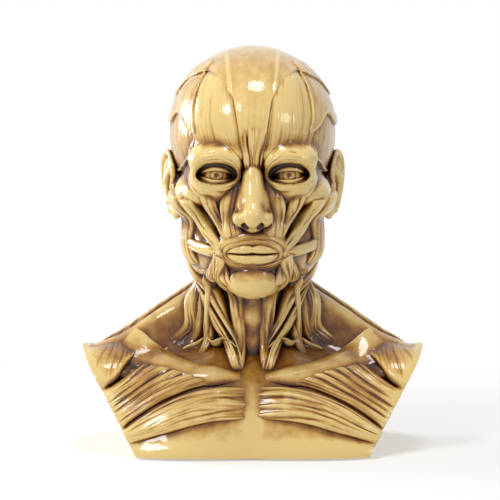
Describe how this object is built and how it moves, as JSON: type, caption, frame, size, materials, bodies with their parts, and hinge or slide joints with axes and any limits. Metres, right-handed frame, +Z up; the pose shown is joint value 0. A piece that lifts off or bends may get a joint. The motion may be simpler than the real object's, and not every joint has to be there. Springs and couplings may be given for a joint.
{
  "type": "anatomical head bust",
  "caption": "Study bust of a flayed human head, neck and shoulders with its muscles modelled in relief, sawn flat below and standing on a felt base.",
  "frame": {"origin": "middle of the felt face that the bust stands on, below the middle of the head", "axes": "+Z up, the face looks along -Y, the bust's own left side is +X"},
  "size_m": [0.1564, 0.1139, 0.1831],
  "materials": {
    "raised_resin": "ivory cast resin, rubbed bright on the high places and varnished",
    "recessed_resin": "the same cast resin where the brown wash stays in the hollows",
    "eye_resin": "smooth cast resin under varnish",
    "felt": "dark pressed felt"
  },
  "bodies": {
    "root": {"jugular_vein_left": "raised_resin", "jugular_vein_right": "raised_resin", "omohyoid_left": "raised_resin", "omohyoid_right": "raised_resin", "sternocleidomastoid_left": "raised_resin", "sternocleidomastoid_right": "raised_resin", "clavicle_left": "raised_resin", "clavicle_right": "raised_resin", "frontalis_left": "raised_resin", "frontalis_right": "raised_resin", "orbicularis_oculi_left": "raised_resin", "orbicularis_oculi_right": "raised_resin", "temporal_fascia_left": "raised_resin", "temporal_fascia_right": "raised_resin", "temporalis_left": "raised_resin", "temporalis_right": "raised_resin", "occipitalis_left": "raised_resin", "occipitalis_right": "raised_resin", "zygomaticus_major_left": "raised_resin", "zygomaticus_major_right": "raised_resin", "zygomaticus_minor_left": "raised_resin", "zygomaticus_minor_right": "raised_resin", "levator_labii_left": "raised_resin", "levator_labii_right": "raised_resin", "risorius_left": "raised_resin", "risorius_right": "raised_resin", "depressor_anguli_left": "raised_resin", "depressor_anguli_right": "raised_resin", "masseter_left": "raised_resin", "masseter_right": "raised_resin", "sternohyoid_left": "raised_resin", "sternohyoid_right": "raised_resin", "scalene_left": "raised_resin", "scalene_right": "raised_resin", "trapezius_left": "raised_resin", "trapezius_right": "raised_resin", "deltoid_left": "raised_resin", "deltoid_right": "raised_resin", "pectoralis_clavicular_left": "raised_resin", "pectoralis_clavicular_right": "raised_resin", "pectoralis_sternal_left": "raised_resin", "pectoralis_sternal_right": "raised_resin", "infraspinatus_left": "raised_resin", "infraspinatus_right": "raised_resin", "ear_left": "raised_resin", "ear_right": "raised_resin", "upper_lip": "raised_resin", "lower_lip": "raised_resin", "orbicularis_oris": "raised_resin", "mentalis": "raised_resin", "procerus": "raised_resin", "galea": "raised_resin", "nose": "raised_resin", "larynx": "raised_resin", "eyeball_left": "eye_resin", "eyeball_right": "eye_resin", "head_core": "recessed_resin", "neck_core": "recessed_resin", "bust_core": "recessed_resin", "base_felt": "felt"}
  },
  "joints": []
}
